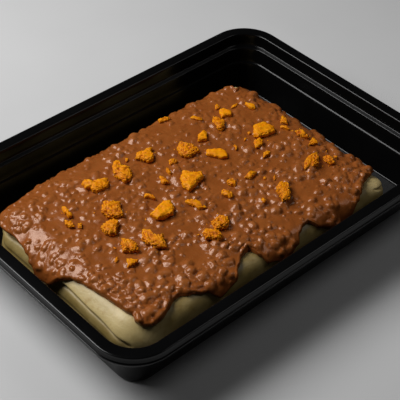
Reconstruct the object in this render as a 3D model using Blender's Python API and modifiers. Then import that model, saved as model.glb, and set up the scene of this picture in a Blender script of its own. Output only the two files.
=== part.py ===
"""A folded crepe under chocolate sauce and honeycomb toffee, in a black takeaway tray.

Metres, +Z up. The origin is under the middle of the tray, with +X along its long side.
"""
import math
import random

import bmesh
import bpy
from mathutils import Vector, noise

MM = 0.001
GAP = 0.3 * MM

# Tray, a thin moulded shell with a stepped rim
TRAY_LENGTH = 222 * MM
TRAY_WIDTH = 158.5 * MM
TRAY_HEIGHT = 33 * MM
TRAY_WALL = 0.8 * MM
TRAY_CORNER_STEPS = 5
# Inset from the rim's edge, depth below the rim and corner radius in plan, in mm, up the inside and over
TRAY_SECTIONS = (
    (18.0, 32.2, 6.4),
    (15.8, 31.7, 8.6),
    (14.2, 30.2, 10.2),
    (13.4, 28.0, 11.0),
    (11.2, 15.4, 13.4),
    (10.9, 15.0, 13.7),
    (10.3, 14.6, 14.2),
    (9.6, 7.3, 14.3),
    (9.2, 6.7, 14.2),
    (7.3, 6.7, 14.6),
    (6.9, 6.2, 14.8),
    (6.3, 0.5, 15.4),
    (5.7, 0.0, 15.9),
    (0.6, 0.0, 20.4),
    (0.1, 0.25, 20.9),
    (0.0, 0.7, 21.0),
    (0.0, 1.3, 21.0),
    (-0.7, 2.9, 21.7),
    (-1.0, 3.2, 22.0),
    (-1.0, 4.1, 22.0),
)

# Crepe, a flat parcel: a level top, a round shoulder, a side and a round heel on the tray's floor
CREPE_MIDDLE = (-11.5 * MM, -7.85 * MM)
HALF_LENGTH = 76 * MM
HALF_WIDTH = 47.65 * MM
CREPE_TOP = 26 * MM
CREPE_FLOOR = TRAY_WALL + GAP
SHOULDER = 8 * MM
HEEL = 6 * MM
CROWN = 0.8 * MM
WAVE = 0.4 * MM
WAVE_LENGTH = 38 * MM
# Radius in plan of each corner of the level top, by the signs of x and y
TOP_CORNERS = {(-1, -1): 9 * MM, (1, -1): 1 * MM, (1, 1): 6 * MM, (-1, 1): 9 * MM}
# The corner at +X -Y is pulled out along X
PULL = 2.6 * MM
PULL_FROM = (38 * MM, -22 * MM)
PULL_OVER = 26 * MM
# Folds that show at the short ends: distance down over the skin, depth and half width
FOLDS = ((10.0 * MM, 2.8 * MM, 0.9 * MM), (18.5 * MM, 1.6 * MM, 0.9 * MM), (24.5 * MM, 1.0 * MM, 1.0 * MM))
UPPERMOST_FOLD = FOLDS[0][0]
# Where the uppermost fold really lies, by place along each short end, in mm; the others move with it
FOLD_NEAR_END = ((-47.65, 13), (-23, 9), (-3, 7.5), (27, 6), (47.65, 9))
FOLD_FAR_END = ((-47.65, 10), (-13, 8.5), (17, 11), (47.65, 9))
# The folds run on round each corner, down at three of them and up at the one at +X -Y
FOLD_WRAP = 24 * MM
FOLD_DROP = 5 * MM
FOLD_RISE = 4.4 * MM
# Rings of the crepe's skin outside its level top
CREPE_RINGS = [MM * d for d in (4, 7.6, 9.1, 10, 11.4, 15, 17.3, 18.5, 19.9, 24.5, 28.7, 32.9)]
CREPE_CELLS = (10, 6)
SKIN = CREPE_RINGS[-1]

# Sauce, a skin over the crepe
SAUCE_LIFT = 0.8 * MM
SAUCE_THICKNESS = 2.0 * MM
SAUCE_RINGS = [MM * d for d in (3.6, 7.2, 10.8)]
SAUCE_CELLS = (32, 19)
SAUCE_REACH = SAUCE_RINGS[-1]
REACH_BLEND = 12 * MM
# How far the sauce runs past the edge of the level top, by place along each side, in mm
REACH_NEAR_END = ((-47.65, 0.5), (-45, -2.7), (-38, -2.2), (-28, -1.4), (-19, -0.3), (-12, 0.7), (-6, 2.3),
                  (-1, 6), (3, 12), (10, 13), (15, 10), (19, 7.5), (25, 5.9), (31, 5), (47.65, 8.5))
REACH_NEAR_SIDE = ((-76, 0.5), (-70, 3), (-64, 4.3), (-60, 4), (-56.5, 2.2), (-53.5, 0), (-50, -0.2),
                   (-44, 2), (-36, 5), (-29, 10), (-20, 8), (-15.5, 3), (-11, 0), (-5.5, -1.2),
                   (-3.4, 4), (-1, 9), (8, 12), (16, 9), (20, 5.4), (25, 3.4), (28.0, 3.1),
                   (32.0, 8), (38, 13), (46, 11), (53, 7.5), (58, 5.3), (62, 3.6), (67.5, 1.4), (76, -1))
REACH_FAR_END = ((-47.65, -1), (-42.4, 3), (-37.8, 7), (-29, 10), (-15, 9.5), (1, 12), (17, 10),
                 (31, 8), (38, 6), (43, 3), (47.65, 0.3))
REACH_FAR_SIDE = ((-76, 8.5), (-60, 12), (-44, 10), (-28, 13), (-8, 10.5), (12, 12.5), (30, 10),
                  (50, 12), (61, 9), (67, 6), (72, 3), (76, 0.3))

# Nut and biscuit lumps in the sauce
LUMP_COUNT = 62
LUMP_RADII = (1.5 * MM, 2.6 * MM)
LUMP_SPACING = 2.6
LUMP_SEED = 11

# Honeycomb pieces: x, y, length, width and height in mm and turn in degrees
HONEYCOMB = (
    (-11.6, 26.3, 9.4, 7.2, 3.6, -30), (-28.3, 24.2, 11.6, 9.6, 4.2, -70), (-44.6, 24.4, 13.0, 7.4, 4.4, -44),
    (-50.1, 6.1, 11.2, 9.4, 4.6, -44), (-57.7, -4.3, 9.6, 8.6, 4.4, -20), (-31.9, -11.4, 12.6, 8.2, 4.4, -9),
    (-58.9, -19.0, 9.4, 7.2, 3.8, -60), (-48.7, -23.4, 15.6, 6.6, 3.8, -88), (7.1, 15.5, 10.8, 7.4, 4.0, -54),
    (-7.4, -2.7, 11.4, 9.0, 4.2, 6), (17.0, 4.0, 11.6, 4.8, 3.2, -54), (48.2, 1.8, 11.4, 7.6, 4.0, -38),
    (34.9, 20.8, 8.8, 5.4, 3.4, -94), (21.4, 19.2, 6.8, 4.8, 3.2, 20), (43.3, 26.0, 7.0, 4.6, 3.2, -40),
    (49.5, -31.1, 10.8, 6.4, 3.8, 8), (58.3, -34.5, 6.8, 4.8, 3.2, -60), (61.4, -11.6, 8.6, 4.4, 3.0, -84),
    (20.4, -39.3, 12.2, 7.6, 4.2, 46), (-17.1, -35.3, 9.6, 6.8, 4.0, -20), (-26.1, -39.3, 11.0, 5.8, 4.0, -60),
    (39.3, -3.5, 6.6, 5.2, 3.2, 10), (58.0, 22.0, 6.8, 3.4, 2.6, -70), (-66.8, 18.6, 7.2, 4.4, 3.0, -110),
)
HONEYCOMB_ROUGHNESS = 0.34
# Depth of a piece's flat foot below its middle, as a share of its size
FOOT = 0.28
LUMP_ROUGHNESS = 0.12
CRUMB_ROUGHNESS = 0.3
# Small honeycomb crumbs: x, y and size in mm, with the share of each that is sunk in the sauce
CRUMB_SUNK = 0.3
CRUMBS = (
    (-71.2, 11.4, 4.2), (-68.2, 6.9, 3.0), (-19.6, 30.0, 2.4), (16.7, 41.0, 5.0), (29.0, 33.6, 2.6),
    (44.6, 33.0, 3.0), (52.3, 30.0, 4.0), (-3.5, 12.6, 4.2), (-10.9, 11.6, 3.8), (-17.0, 5.6, 4.4),
    (-29.5, 2.6, 5.0), (-18.8, -16.8, 5.2), (27.6, -0.6, 3.2), (36.5, -12.8, 3.6), (41.5, 7.6, 2.2),
    (18.0, -19.5, 5.2), (7.3, -16.0, 4.6), (-0.7, -22.6, 5.0), (26.5, -27.7, 2.2), (8.4, -37.6, 2.6),
    (-65.6, -28.4, 5.6), (-69.6, -19.6, 2.6), (62.6, -20.2, 4.4), (63.0, 2.4, 4.2), (58.6, -3.8, 4.6),
)


def smoothstep(x):
    x = min(max(x, 0.0), 1.0)
    return x * x * (3 - 2 * x)


def eased(table, place):
    """A value in metres at a place along a side, eased between a table's places and values in mm."""
    place /= MM
    for (left, low), (right, high) in zip(table, table[1:]):
        if place <= right:
            return MM * (low + (high - low) * smoothstep((place - left) / (right - left)))
    return MM * table[-1][1]


def material(name, colour, roughness, coat=0.0):
    """A Principled material with a plain colour."""
    made = bpy.data.materials.new(name)
    made.use_nodes = True
    shader = made.node_tree.nodes["Principled BSDF"]
    shader.inputs["Base Color"].default_value = (*colour, 1)
    shader.inputs["Roughness"].default_value = roughness
    shader.inputs["Metallic"].default_value = 0
    shader.inputs["Coat Weight"].default_value = coat
    made.diffuse_color = (*colour, 1)
    return made


def new_object(name, bm, surface, collection):
    """An object made from a finished bmesh."""
    mesh = bpy.data.meshes.new(name)
    bm.to_mesh(mesh)
    bm.free()
    mesh.shade_smooth()
    mesh.set_sharp_from_angle(angle=math.radians(35))
    mesh.materials.append(surface)
    made = bpy.data.objects.new(name, mesh)
    collection.objects.link(made)
    return made


def keep_largest(mesh):
    """Drops the loose scraps of a mesh, so that one body is left."""
    bm = bmesh.new()
    bm.from_mesh(mesh)
    left = set(bm.verts)
    bodies = []
    while left:
        body = set()
        front = [left.pop()]
        while front:
            vert = front.pop()
            body.add(vert)
            near = [edge.other_vert(vert) for edge in vert.link_edges]
            near = [other for other in near if other in left]
            left.difference_update(near)
            front += near
        bodies.append(body)
    bodies.sort(key=len)
    for scrap in bodies[:-1]:
        bmesh.ops.delete(bm, geom=list(scrap), context="VERTS")
    bm.to_mesh(mesh)
    bm.free()


def applied(obj):
    """Replaces an object's mesh by what its modifiers make of it."""
    graph = bpy.context.evaluated_depsgraph_get()
    mesh = bpy.data.meshes.new_from_object(obj.evaluated_get(graph))
    obj.modifiers.clear()
    obj.data = mesh


def rounded_rectangle(half_x, half_y, radius, z):
    """Points of a rectangle with round corners, counterclockwise from above."""
    points = []
    for corner, (sx, sy) in enumerate(((1, 1), (-1, 1), (-1, -1), (1, -1))):
        for step in range(TRAY_CORNER_STEPS + 1):
            angle = math.radians(90 * (corner + step / TRAY_CORNER_STEPS))
            x = sx * (half_x - radius) + radius * math.cos(angle)
            y = sy * (half_y - radius) + radius * math.sin(angle)
            points.append((x, y, z))
    return points


def tray(surface, collection):
    """The shell: one open surface from the floor to the lip, thickened below and outside."""
    bm = bmesh.new()
    rings = []
    for section in TRAY_SECTIONS:
        inset, depth, corner = (value * MM for value in section)
        points = rounded_rectangle(TRAY_LENGTH / 2 - inset, TRAY_WIDTH / 2 - inset, corner, TRAY_HEIGHT - depth)
        rings.append([bm.verts.new(p) for p in points])
    bm.faces.new(rings[0])
    for inner, outer in zip(rings, rings[1:]):
        for i in range(len(inner)):
            j = (i + 1) % len(inner)
            bm.faces.new((inner[i], outer[i], outer[j], inner[j]))
    made = new_object("tray", bm, surface, collection)
    shell = made.modifiers.new("Wall", "SOLIDIFY")
    shell.thickness = TRAY_WALL
    shell.offset = -1
    shell.use_even_offset = True
    return made


def crepe_profile(e):
    """Offset, height and slope of the crepe's skin at a distance e past the edge of its level top."""
    round_over = SHOULDER * math.pi / 2
    side = CREPE_TOP - CREPE_FLOOR - SHOULDER - HEEL
    if e <= 0:
        return e, CREPE_TOP, 0.0
    if e < round_over:
        slope = e / SHOULDER
        return SHOULDER * math.sin(slope), CREPE_TOP - SHOULDER * (1 - math.cos(slope)), slope
    if e < round_over + side:
        return SHOULDER, CREPE_TOP - SHOULDER - (e - round_over), math.pi / 2
    under = min((e - round_over - side) / HEEL, math.pi / 2)
    return SHOULDER - HEEL * (1 - math.cos(under)), CREPE_FLOOR + HEEL * (1 - math.sin(under)), math.pi / 2


def past_edge(u, v):
    """How far a place on the crepe's paper lies past the edge of its level top."""
    return max(abs(u) - HALF_LENGTH, abs(v) - HALF_WIDTH)


def moved_out(u, v, e, wanted):
    """The place in the same direction as u, v, at another distance past the edge."""
    return u * (HALF_LENGTH + wanted) / (HALF_LENGTH + e), v * (HALF_WIDTH + wanted) / (HALF_WIDTH + e)


def fold_path(u, v, e):
    """How far the folds are moved down at a place on the sides, and how deep they are there."""
    table = FOLD_FAR_END if u > 0 else FOLD_NEAR_END
    inside = HALF_LENGTH - abs(u) * HALF_LENGTH / (HALF_LENGTH + e)
    if abs(u) - HALF_LENGTH >= abs(v) - HALF_WIDTH:
        return eased(table, v * HALF_WIDTH / (HALF_WIDTH + e)) - UPPERMOST_FOLD, 1.0
    turned = min(inside / FOLD_WRAP, 1)
    corner = eased(table, math.copysign(HALF_WIDTH, v)) - UPPERMOST_FOLD
    return corner + turned * (-FOLD_RISE if u > 0 > v else FOLD_DROP), smoothstep(1 - turned)


def crepe_skin(u, v):
    """A point of the crepe's skin, with the folds pressed in."""
    e = past_edge(u, v)
    if e <= 0:
        return parcel(u, v)
    shift, fade = fold_path(u, v, e)
    share = e / UPPERMOST_FOLD if e < UPPERMOST_FOLD else (SKIN - e) / (SKIN - UPPERMOST_FOLD)
    groove = fade * sum(depth * math.exp(-((e - middle) / width) ** 2) for middle, depth, width in FOLDS)
    return parcel(*moved_out(u, v, e, e + shift * share), groove=groove)


def round_corner(x, y):
    """Moves a point of a square corner onto the round one."""
    radius = TOP_CORNERS[(1 if x > 0 else -1, 1 if y > 0 else -1)]
    dx = abs(x) - (HALF_LENGTH - radius)
    dy = abs(y) - (HALF_WIDTH - radius)
    if dx <= 0 or dy <= 0:
        return x, y
    inward = 1 - max(dx, dy) / math.hypot(dx, dy)
    return x - math.copysign(dx * inward, x), y - math.copysign(dy * inward, y)


def parcel(u, v, lift=0.0, groove=0.0):
    """The point over the parcel at u, v, measured over its skin from the middle of the top."""
    e = past_edge(u, v)
    offset, z, slope = crepe_profile(e)
    middle = max(0.0, 1 - (u / HALF_LENGTH) ** 2) * max(0.0, 1 - (v / HALF_WIDTH) ** 2)
    wave = WAVE * noise.noise(Vector((u / WAVE_LENGTH, v / WAVE_LENGTH, 3.7)))
    offset += (lift - groove) * math.sin(slope)
    z += (lift - groove + CROWN * middle + wave) * math.cos(slope)
    if abs(u) - HALF_LENGTH >= abs(v) - HALF_WIDTH:
        x = math.copysign(HALF_LENGTH + offset, u)
        y = v * (HALF_WIDTH + offset) / (HALF_WIDTH + e)
    else:
        x = u * (HALF_LENGTH + offset) / (HALF_LENGTH + e)
        y = math.copysign(HALF_WIDTH + offset, v)
    x, y = round_corner(x, y)
    x += PULL * smoothstep((x - PULL_FROM[0]) / PULL_OVER) * smoothstep((PULL_FROM[1] - y) / PULL_OVER)
    return Vector((CREPE_MIDDLE[0] + x, CREPE_MIDDLE[1] + y, z))


def stations(half, cells, rings):
    """Places of the grid lines across the paper: even ones on the level top, then the rings."""
    inner = [half * (2 * i / cells - 1) for i in range(cells + 1)]
    outer = [half + ring for ring in rings]
    return [-place for place in reversed(outer)] + inner + outer


def grid_surface(us, vs, place):
    """A sheet of faces over a grid, facing up, with its outline in order."""
    bm = bmesh.new()
    rows = [[bm.verts.new(place(u, v)) for v in vs] for u in us]
    for i in range(len(us) - 1):
        for j in range(len(vs) - 1):
            bm.faces.new((rows[i][j], rows[i + 1][j], rows[i + 1][j + 1], rows[i][j + 1]))
    outline = [row[0] for row in rows] + rows[-1][1:]
    outline += [row[-1] for row in reversed(rows[:-1])] + rows[0][-2:0:-1]
    return bm, outline


def crepe(surface, collection):
    """The folded crepe, one solid with its folds in relief."""
    us = stations(HALF_LENGTH, CREPE_CELLS[0], CREPE_RINGS)
    vs = stations(HALF_WIDTH, CREPE_CELLS[1], CREPE_RINGS)
    bm, outline = grid_surface(us, vs, crepe_skin)
    bm.faces.new(list(reversed(outline)))
    return new_object("crepe", bm, surface, collection)


def sauce_reach(u, v):
    """How far the sauce runs past the edge of the level top, for the nearest side."""
    past_x = abs(u) - HALF_LENGTH
    past_y = abs(v) - HALF_WIDTH
    if past_x >= past_y:
        return eased(REACH_FAR_END if u > 0 else REACH_NEAR_END, v * HALF_WIDTH / (HALF_WIDTH + past_x))
    return eased(REACH_FAR_SIDE if v > 0 else REACH_NEAR_SIDE, u * HALF_LENGTH / (HALF_LENGTH + past_y))


def drape(s, t):
    """Place on the crepe's paper of a point of the sauce, whose outer ring follows the reach."""
    e = past_edge(s, t)
    if e <= -REACH_BLEND:
        return s, t
    share = (e + REACH_BLEND) / (SAUCE_REACH + REACH_BLEND)
    return moved_out(s, t, e, share * (sauce_reach(s, t) + REACH_BLEND) - REACH_BLEND)


def sauce_inner(s, t):
    """The underside of the sauce, a little above the crepe."""
    u, v = drape(s, t)
    return parcel(u, v, SAUCE_LIFT)


def sauce_outer(s, t):
    """The face of the sauce that shows."""
    u, v = drape(s, t)
    return parcel(u, v, SAUCE_LIFT + SAUCE_THICKNESS)


def sauce_top(x, y):
    """Height of the sauce's level top at a place in plan."""
    return sauce_outer(x - CREPE_MIDDLE[0], y - CREPE_MIDDLE[1]).z


def chunk(name, size, roughness, detail, seed):
    """An uneven lump with a flat foot, centred in plan, standing on z = 0."""
    bm = bmesh.new()
    bmesh.ops.create_icosphere(bm, subdivisions=detail, radius=0.5)
    for vert in bm.verts:
        swell = 1 + roughness * noise.noise(vert.co * 3.1 + Vector((seed * 7.3, 0, 0)))
        x, y, z = vert.co * swell
        z = (max(z, -FOOT) + FOOT) / (0.5 + FOOT)
        vert.co = Vector((x * size[0], y * size[1], z * size[2]))
    mesh = bpy.data.meshes.new(name)
    bm.to_mesh(mesh)
    bm.free()
    return mesh


def honeycomb(surface, collection):
    """The pieces as large as berries, each standing on the sauce."""
    for number, (x, y, length, width, height, turn) in enumerate(HONEYCOMB, 1):
        name = f"honeycomb_{number:02d}"
        mesh = chunk(name, (length * MM, width * MM, height * MM), HONEYCOMB_ROUGHNESS, 2, number)
        mesh.materials.append(surface)
        piece = bpy.data.objects.new(name, mesh)
        reach = length * MM / 2
        around = [(0, 0), (reach, 0), (-reach, 0), (0, reach), (0, -reach)]
        foot = max(sauce_top(x * MM + dx, y * MM + dy) for dx, dy in around) + GAP
        piece.location = (x * MM, y * MM, foot)
        piece.rotation_euler.z = math.radians(turn)
        collection.objects.link(piece)


def clear_of_honeycomb(x, y, radius):
    """Whether a round thing in plan misses every honeycomb piece and crumb."""
    for px, py, length, width, height, turn in HONEYCOMB:
        if math.hypot(x - px * MM, y - py * MM) < radius + length * MM * 0.62 + GAP:
            return False
    for px, py, size in CRUMBS:
        if math.hypot(x - px * MM, y - py * MM) < radius + size * MM / 2 + GAP:
            return False
    return True


def lump_places():
    """Places and radii of the largest lumps, spread over the sauce and kept apart."""
    draw = random.Random(LUMP_SEED)
    made = []
    while len(made) < LUMP_COUNT:
        s = draw.uniform(-1, 1) * (HALF_LENGTH + 0.3 * SAUCE_REACH)
        t = draw.uniform(-1, 1) * (HALF_WIDTH + 0.3 * SAUCE_REACH)
        # The lumps are larger towards the near side
        nearness = 0.5 - 0.5 * t / HALF_WIDTH
        radius = LUMP_RADII[0] + (LUMP_RADII[1] - LUMP_RADII[0]) * nearness * draw.uniform(0.5, 1)
        place = sauce_outer(s, t)
        apart = all((place - other).length > LUMP_SPACING * (radius + size) for other, size in made)
        if apart and clear_of_honeycomb(place.x, place.y, radius):
            made.append((place, radius))
    return made


def sauce(surface, collection):
    """The sauce: a draped skin with its lumps and the small crumbs fused on."""
    us = stations(HALF_LENGTH, SAUCE_CELLS[0], SAUCE_RINGS)
    vs = stations(HALF_WIDTH, SAUCE_CELLS[1], SAUCE_RINGS)
    bm, outline = grid_surface(us, vs, sauce_inner)
    made = new_object("chocolate_sauce", bm, surface, collection)
    skin = made.modifiers.new("Skin", "SOLIDIFY")
    skin.thickness = SAUCE_THICKNESS
    skin.offset = 1
    fused = bpy.data.collections.new("fused")
    bpy.context.scene.collection.children.link(fused)
    for number, (place, radius) in enumerate(lump_places()):
        mesh = chunk("lump", (2 * radius, 2 * radius, 2 * radius), LUMP_ROUGHNESS, 1, number)
        piece = bpy.data.objects.new("lump", mesh)
        piece.location = place - Vector((0, 0, radius))
        fused.objects.link(piece)
    for number, (x, y, size) in enumerate(CRUMBS):
        mesh = chunk("crumb", (size * MM, 0.8 * size * MM, 0.9 * size * MM), CRUMB_ROUGHNESS, 1, number)
        piece = bpy.data.objects.new("crumb", mesh)
        place = sauce_outer(x * MM - CREPE_MIDDLE[0], y * MM - CREPE_MIDDLE[1])
        piece.location = place - Vector((0, 0, CRUMB_SUNK * size * MM))
        fused.objects.link(piece)
    union = made.modifiers.new("Fuse", "BOOLEAN")
    union.operation = "UNION"
    union.operand_type = "COLLECTION"
    union.collection = fused
    union.solver = "EXACT"
    bpy.context.view_layer.update()
    applied(made)
    keep_largest(made.data)
    for piece in list(fused.objects):
        bpy.data.objects.remove(piece)
    bpy.data.collections.remove(fused)
    return made


def build():
    for obj in list(bpy.data.objects):
        bpy.data.objects.remove(obj)
    parts = bpy.data.collections.new("folded_crepe")
    bpy.context.scene.collection.children.link(parts)
    tray(material("black_plastic", (0.012, 0.012, 0.013), 0.38), parts)
    crepe(material("crepe_batter", (0.62, 0.50, 0.27), 0.62), parts)
    sauce(material("chocolate_sauce", (0.17, 0.055, 0.020), 0.28, 0.4), parts)
    honeycomb(material("honeycomb_toffee", (0.80, 0.32, 0.025), 0.55), parts)
    bpy.context.view_layer.update()


build()
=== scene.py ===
"""Looks of the folded crepe under chocolate nut sauce and honeycomb toffee, in its black takeaway tray.

Shapes are worked out in millimetres in the frame of the solids, and scaled to metres when a mesh is made.
"""
import functools
import math

import bmesh
import bpy
import numpy as np
from mathutils import Matrix, Vector, noise
from mathutils.kdtree import KDTree

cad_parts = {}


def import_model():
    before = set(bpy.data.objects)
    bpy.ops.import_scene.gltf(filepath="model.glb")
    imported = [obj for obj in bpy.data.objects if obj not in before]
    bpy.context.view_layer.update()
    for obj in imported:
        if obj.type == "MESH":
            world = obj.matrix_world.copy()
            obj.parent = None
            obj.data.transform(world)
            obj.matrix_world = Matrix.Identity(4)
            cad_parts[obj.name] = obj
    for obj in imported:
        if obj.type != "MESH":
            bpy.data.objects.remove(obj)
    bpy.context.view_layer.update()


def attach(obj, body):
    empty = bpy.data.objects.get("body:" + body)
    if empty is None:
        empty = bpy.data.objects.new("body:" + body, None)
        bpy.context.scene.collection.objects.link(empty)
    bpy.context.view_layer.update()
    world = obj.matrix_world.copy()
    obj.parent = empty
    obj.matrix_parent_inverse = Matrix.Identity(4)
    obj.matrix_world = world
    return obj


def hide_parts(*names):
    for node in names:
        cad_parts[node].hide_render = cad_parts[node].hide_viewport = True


MM = 0.001
# Least size of a value that another one is divided by
TINY = 1e-9
# How far a seed moves the smooth noise along each axis, in lengths of its features
NOISE_SHIFT = (7.31, 3.7, 1)

# Tray, a thin moulded shell with a stepped rim
TRAY_LENGTH = 222
TRAY_WIDTH = 158.5
TRAY_HEIGHT = 33
TRAY_WALL = 0.8
TRAY_CORNER_STEPS = 20
# Inset from the rim's edge, depth below the rim and corner radius in plan, up the inside and over
TRAY_SECTIONS = (
    (20.0, 32.2, 4.6),
    (15.2, 32.2, 9.2),
    (14.5, 31.9, 9.9),
    (14.1, 31.2, 10.3),
    (11.5, 16.2, 13.1),
    (11.1, 15.4, 13.5),
    (10.2, 14.5, 14.3),
    (9.6, 7.3, 14.3),
    (9.2, 6.7, 14.2),
    (7.3, 6.7, 14.6),
    (6.9, 6.2, 14.8),
    (6.3, 0.5, 15.4),
    (5.7, 0.0, 15.9),
    (0.6, 0.0, 20.4),
    (0.1, 0.25, 20.9),
    (0.0, 0.7, 21.0),
    (0.0, 1.3, 21.0),
    (-0.5, 2.9, 21.5),
    (-1.0, 3.15, 22.0),
    (-1.0, 4.1, 22.0),
)
# Share of the stretch on each side of an edge that its rounding takes up, and steps round an edge
EDGE_SHARE = 0.36
EDGE_STEPS = 5

# Crepe, a flat parcel: a level top, a round shoulder, a side and a round heel on the tray's floor
CREPE_MIDDLE = (-11.5, -7.85)
HALF_LENGTH = 76
HALF_WIDTH = 47.65
CREPE_TOP = 26
CREPE_FLOOR = 1.1
HEEL = 6
# Way over the skin from the edge of the level top to the underside
SKIN = 32.9
# The shoulder's radius along the sides and at each end, and the shares of the half length from which and
# over which it comes in there
SHOULDER = 8
NEAR_END_SHOULDER = 14
NEAR_END_FROM = 0.6
NEAR_END_OVER = 0.4
FAR_END_SHOULDER = 9
FAR_END_FROM = 0.7
FAR_END_OVER = 0.3
# The top's rise towards its middle and its waves, which are cut from noise at a height in wave lengths
CROWN = 0.8
WAVE = 0.4
WAVE_LENGTH = 38
WAVE_HEIGHT = 3.7
# Corner radius in plan, by the signs of x and y
TOP_CORNERS = {(-1, -1): 9, (1, -1): 1, (1, 1): 6, (-1, 1): 9}
# The corner at +X +Y stands up a little and the one at +X -Y dips: middle on the paper, radius and height
CORNER_BUMPS = (((80, 51), 10, 4), ((80, -40), 34, -2.6))
# The corner at +X -Y is pulled out along +X: how far, past which place and over what distance
PULL = 2.6
PULL_FROM = (38, -22)
PULL_OVER = 26
# Folds on the sides: distance down over the skin, depth and half width
FOLDS = ((10.0, 2.8, 0.9), (18.5, 0.5, 1.2), (24.5, 0.5, 1.2))
UPPERMOST_FOLD = FOLDS[0][0]
# How far down the uppermost fold lies, by place across each end
FOLD_NEAR_END = ((-47.65, 13), (-23, 9), (-3, 7.5), (27, 6), (47.65, 9))
FOLD_FAR_END = ((-47.65, 10), (-13, 8.5), (17, 11), (47.65, 9))
# Round a corner the folds fade out over this much of the long side. They drop meanwhile, but rise at +X -Y
FOLD_WRAP = 9
FOLD_DROP = 5
FOLD_RISE = 4.4
# The near end's folds come in over this distance from its corner at -Y
NOSE_FADE = 7
# How far the skin under the uppermost fold is set back at the near and the far end, and over what distance
TUCK = 2.4
FAR_TUCK = 0.4
TUCK_OVER = 1.2
# Sizes of the mesh's cells on the level top and of its rings down the sides
CREPE_CELL = 1.2
CREPE_RING = 0.6
# Creases over the sides: height, length, stretch along y, the noise's value at the plain skin, and how far
# they take to come in at the top's edge and to go out at the underside
WRINKLE = 0.22
WRINKLE_LENGTH = 7
WRINKLE_STRETCH = 0.5
WRINKLE_LEVEL = 0.5
WRINKLE_IN = 4
WRINKLE_OUT = 6
WRINKLE_SEED = 2
# Painted shade along the near side: how much, how far inside the top's edge it starts and over what distance
# it comes in, and over what distances it goes out towards the ends
SIDE_SHADE = 0.75
SIDE_SHADE_LEAD = 6
SIDE_SHADE_OVER = 8
SIDE_SHADE_NEAR_END = 14
SIDE_SHADE_FAR_END = 12
# Browning under the uppermost fold, partly painted shade below it, and over what distance it comes in
FOLD_BROWNING_AND_SHADE = 0.8
FOLD_BROWNING_AND_SHADE_OVER = 5

# Sauce, a skin over the crepe
SAUCE_LIFT = 0.35
SAUCE_THICKNESS = 2.2
SAUCE_ROUNDING = 1.3
SAUCE_REACH = 10.8
SAUCE_CELL = 0.5
# Cells of the outer face to one of the underside
UNDERSIDE_STEP = 4
# How far inside the top's edge the mesh starts to follow the reach
REACH_BLEND = 12
# How far the sauce runs past the edge of the level top, by place along each side
REACH_NEAR_END = ((-47.65, 0.5), (-45, -2.7), (-38, -2.2), (-28, -1.4), (-19, -0.3), (-12, 0.7), (-6, 2.3),
    (-1, 6), (3, 12), (10, 13), (15, 10), (19, 7.5), (25, 5.9), (31, 5), (47.65, 8.5))
REACH_NEAR_SIDE = ((-76, 0.5), (-70, 3), (-64, 4.3), (-60, 4), (-56.5, 2.2), (-53.5, 0), (-50, -0.2),
    (-44, 2), (-36, 5), (-29, 10), (-20, 8), (-15.5, 3), (-11, 0), (-5.5, -1.2), (-3.4, 4), (-1, 9), (8, 12),
    (16, 9), (20, 5.4), (25, 3.4), (28.5, 3.1), (30.5, 8), (38, 13), (46, 11), (53, 7.5), (58, 5.3),
    (62, 3.6), (67.5, 1.4), (72.7, -0.3), (76, -1))
REACH_FAR_END = ((-47.65, -1), (-42.4, 3), (-37.8, 7), (-29, 10), (-15, 9.5), (1, 12), (17, 10), (31, 8),
    (38, 6), (43, 3), (47.65, 0.3))
REACH_FAR_SIDE = ((-76, 8.5), (-60, 12), (-44, 10), (-28, 13), (-8, 10.5), (12, 12.5), (30, 10), (50, 12),
    (61, 9), (67, 6), (72, 3), (76, 0.3))
# Distances to the sauce's edge are worked out within this many cells of it, and are this large elsewhere
BORDER_CELLS = 24
FAR_FROM_BORDER = 99.0
# Towards its sides the sauce gets this much thinner, from and over these distances past the top's edge
SLOPE_DROP = 0.7
SLOPE_FROM = -9
SLOPE_OVER = 12
# Lumps under the sauce: count, radii, height as a share of the radius, and spacing in radii
FINE_LUMPS = (900, (0.7, 1.2), 0.5, 1.3)
MIDDLE_LUMPS = (700, (1.3, 2.2), 0.55, 1.2)
LARGE_LUMPS = (260, (2.1, 3.4), 0.62, 1.0)
LUMP_SEED = 11
# Tries for each lump, cells left free at the border, and half a lump's window in radii and in cells more
LUMP_TRIES = 12
LUMP_MARGIN = 2
LUMP_WINDOW = 2.2
LUMP_WINDOW_CELLS = 3
# Range that a lump's height is scaled by, power that shapes its dome, and power that merges lumps
LUMP_SCALE = (0.55, 1.15)
LUMP_POWER = 0.9
LUMP_MERGE = 3
# The large lumps lie on the near side and at the far end, past these places and over this fade. Those at the
# far end are fewer, by this share, and lie on the near side of the last place
LARGE_NEAR_SIDE = -25
LARGE_FAR_END = 50
LARGE_FADE = 18
LARGE_FAR_END_SHARE = 0.7
LARGE_FAR_END_SIDE = 5
# Lumps lie together in pools: size, least value of the noise and how far over it a pool is full
POOL_LENGTH = 12
POOL_FROM = -0.2
POOL_FADE = 0.35
POOL_SEED = 8
# Chance that a place takes a lump: a share everywhere, and what is added in a pool or among large lumps
LARGE_BY_PLACE = (0.3, 0.7)
LARGE_BY_POOL = (0.1, 0.9)
MIDDLE_BY_PLACE = (1, -0.4)
MIDDLE_BY_POOL = (0.3, 0.7)
FINE_BY_POOL = (0.25, 0.6)
# Uneven swelling of the sauce: height, length and seed of broad and of fine waves
SWELL = 0.7
SWELL_LENGTH = 9
SWELL_SEED = 4
RIPPLE = 0.3
RIPPLE_LENGTH = 3.6
RIPPLE_SEED = 9
# How far the lumps' outlines are bent, over what length, and a seed for each axis
LUMP_WARP = 0.9
LUMP_WARP_LENGTH = 2.6
LUMP_WARP_SEEDS = (5, 6, 7)
# Height over which a lump turns pale, partly from its thin coat over nuts and partly painted light on its top
LUMP_PALE_AND_LIT_HEIGHT = 2.2
# Share of their height that lumps keep away from the large ones
LOW_RELIEF = 0.8
# Way from the sauce's edge over which lumps and waves come in
CALM_EDGE = 1.9
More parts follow.
